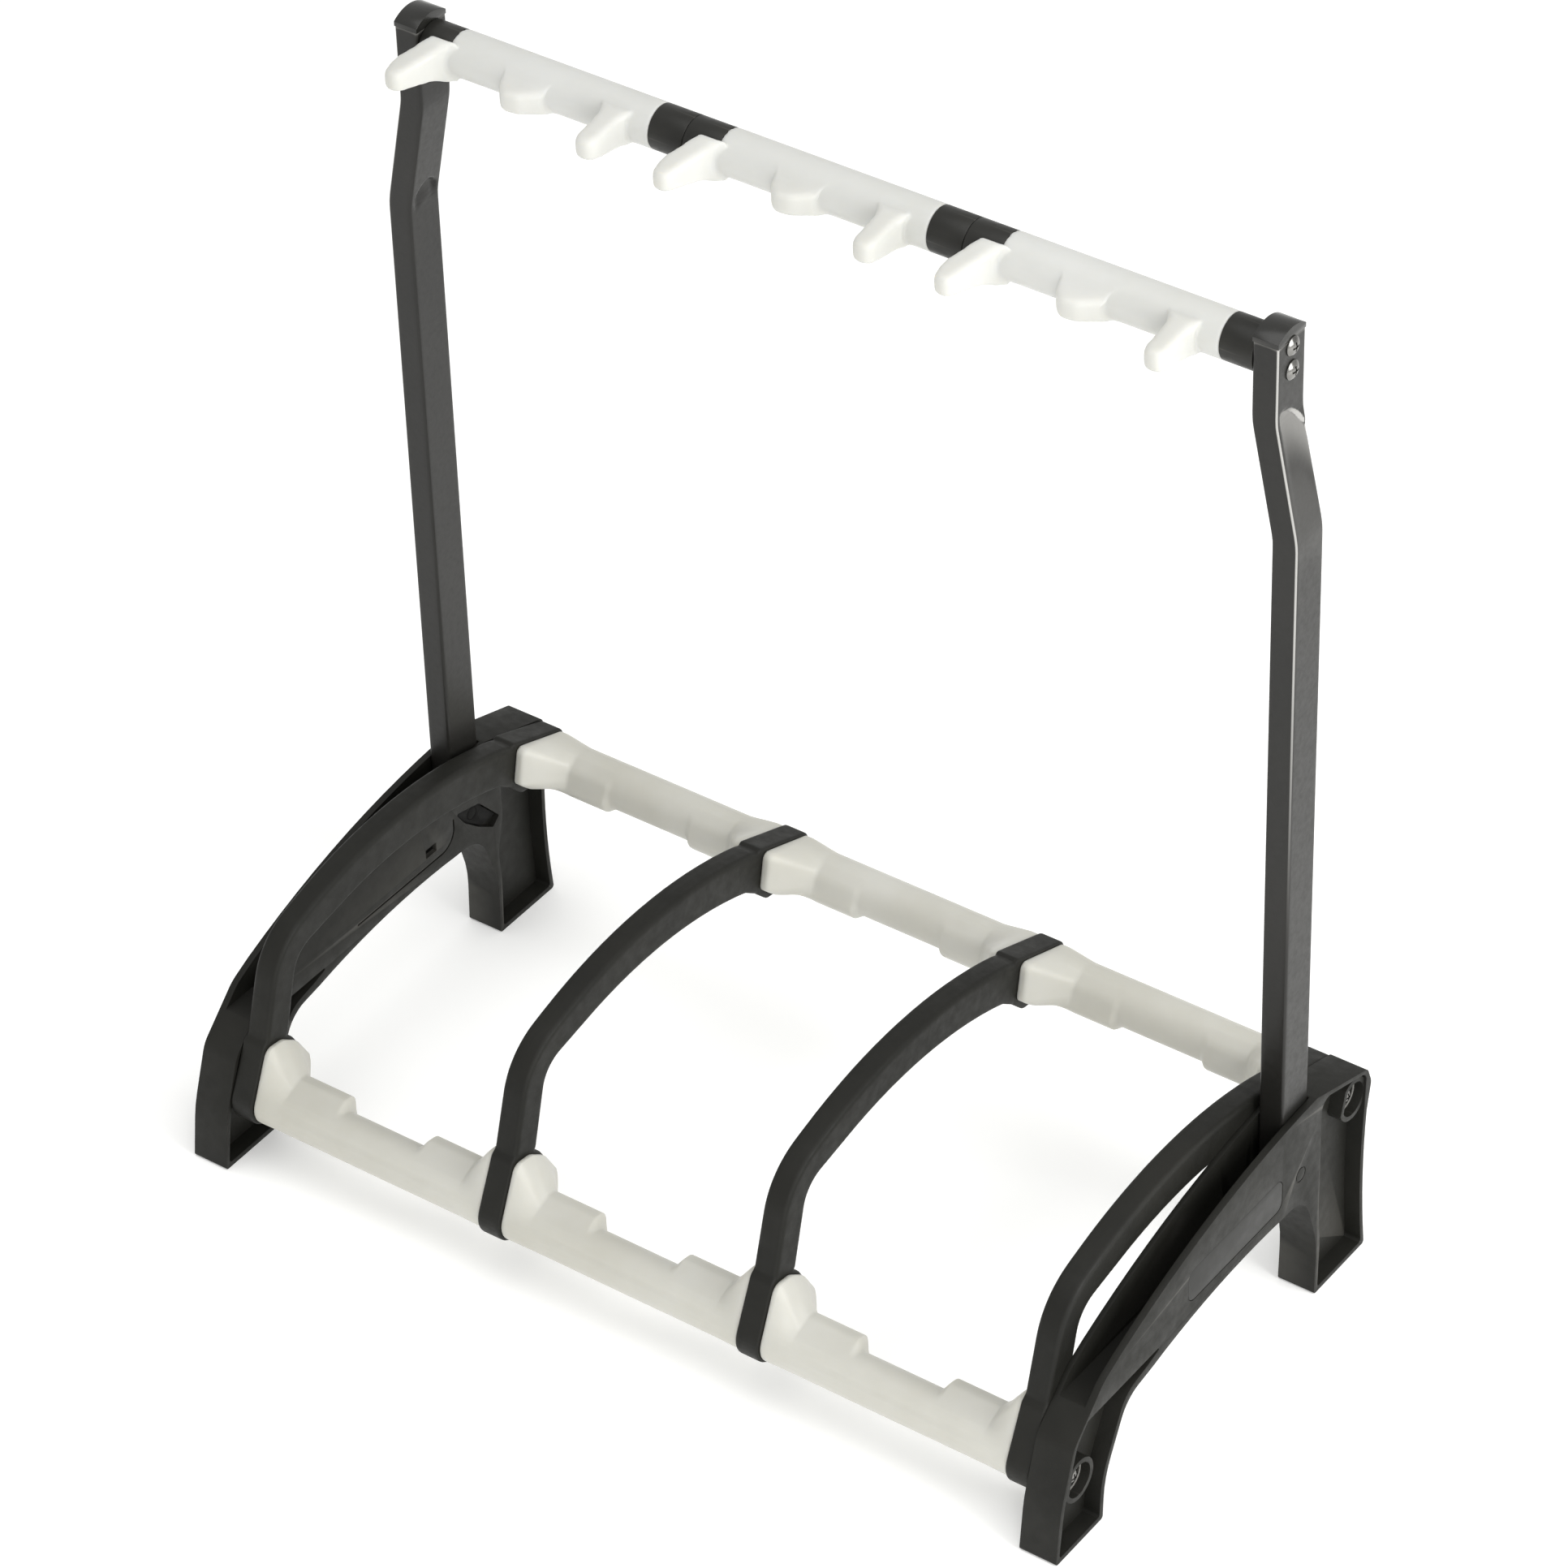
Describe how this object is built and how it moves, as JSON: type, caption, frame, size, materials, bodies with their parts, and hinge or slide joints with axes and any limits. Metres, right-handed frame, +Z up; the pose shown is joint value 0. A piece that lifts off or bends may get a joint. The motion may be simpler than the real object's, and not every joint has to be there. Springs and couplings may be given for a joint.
{
  "type": "guitar rack",
  "caption": "Folding floor rack for stringed instruments: moulded side frames, padded bars with hoops between bays, and a padded neck bar with prongs on two uprights.",
  "frame": {"origin": "on the floor, at the middle of the footprint", "axes": "+Z up, -Y towards the front, +X to the right seen from the front"},
  "size_m": [0.58, 0.3048, 0.637],
  "materials": {
    "frame_plastic": "moulded, fine grain",
    "painted_steel": "satin powder coat, fine grain",
    "pad_rubber": "matte, slightly translucent off-white",
    "sleeve_plastic": "satin",
    "zinc_screw": "bright zinc plate",
    "label": "smooth, blank"
  },
  "bodies": {
    "base": {"side_frame_left": "frame_plastic", "side_frame_right": "frame_plastic", "hoop_end_left": "frame_plastic", "hoop_mid_left": "frame_plastic", "hoop_mid_right": "frame_plastic", "hoop_end_right": "frame_plastic", "front_bar_tube": "painted_steel", "back_bar_tube": "painted_steel", "front_pad_left": "pad_rubber", "front_pad_middle": "pad_rubber", "front_pad_right": "pad_rubber", "back_pad_left": "pad_rubber", "back_pad_middle": "pad_rubber", "back_pad_right": "pad_rubber", "bar_end_plugs": "sleeve_plastic", "bar_screws": "zinc_screw", "label_plate": "label", "pivot_block_left": "sleeve_plastic", "pivot_block_right": "sleeve_plastic", "pivot_pin_left": "painted_steel", "pivot_pin_right": "painted_steel"},
    "upper_frame": {"upright_left": "painted_steel", "upright_right": "painted_steel", "upright_foot_left": "sleeve_plastic", "upright_foot_right": "sleeve_plastic", "upright_cap_left": "sleeve_plastic", "upright_cap_right": "sleeve_plastic", "neck_bar_tube": "painted_steel", "neck_end_blocks": "sleeve_plastic", "neck_pad_left": "pad_rubber", "neck_pad_middle": "pad_rubber", "neck_pad_right": "pad_rubber", "neck_sleeve_1": "sleeve_plastic", "neck_sleeve_2": "sleeve_plastic", "neck_sleeve_3": "sleeve_plastic", "neck_sleeve_4": "sleeve_plastic", "neck_sleeve_5": "sleeve_plastic", "neck_sleeve_6": "sleeve_plastic", "neck_screws": "zinc_screw"}
  },
  "joints": [
    {"name": "fold", "type": "hinge", "parent": "base", "child": "upper_frame", "pos_m": [0, 0.082, 0.0995], "axis": [1, 0, 0], "range_deg": [0, 90]}
  ]
}
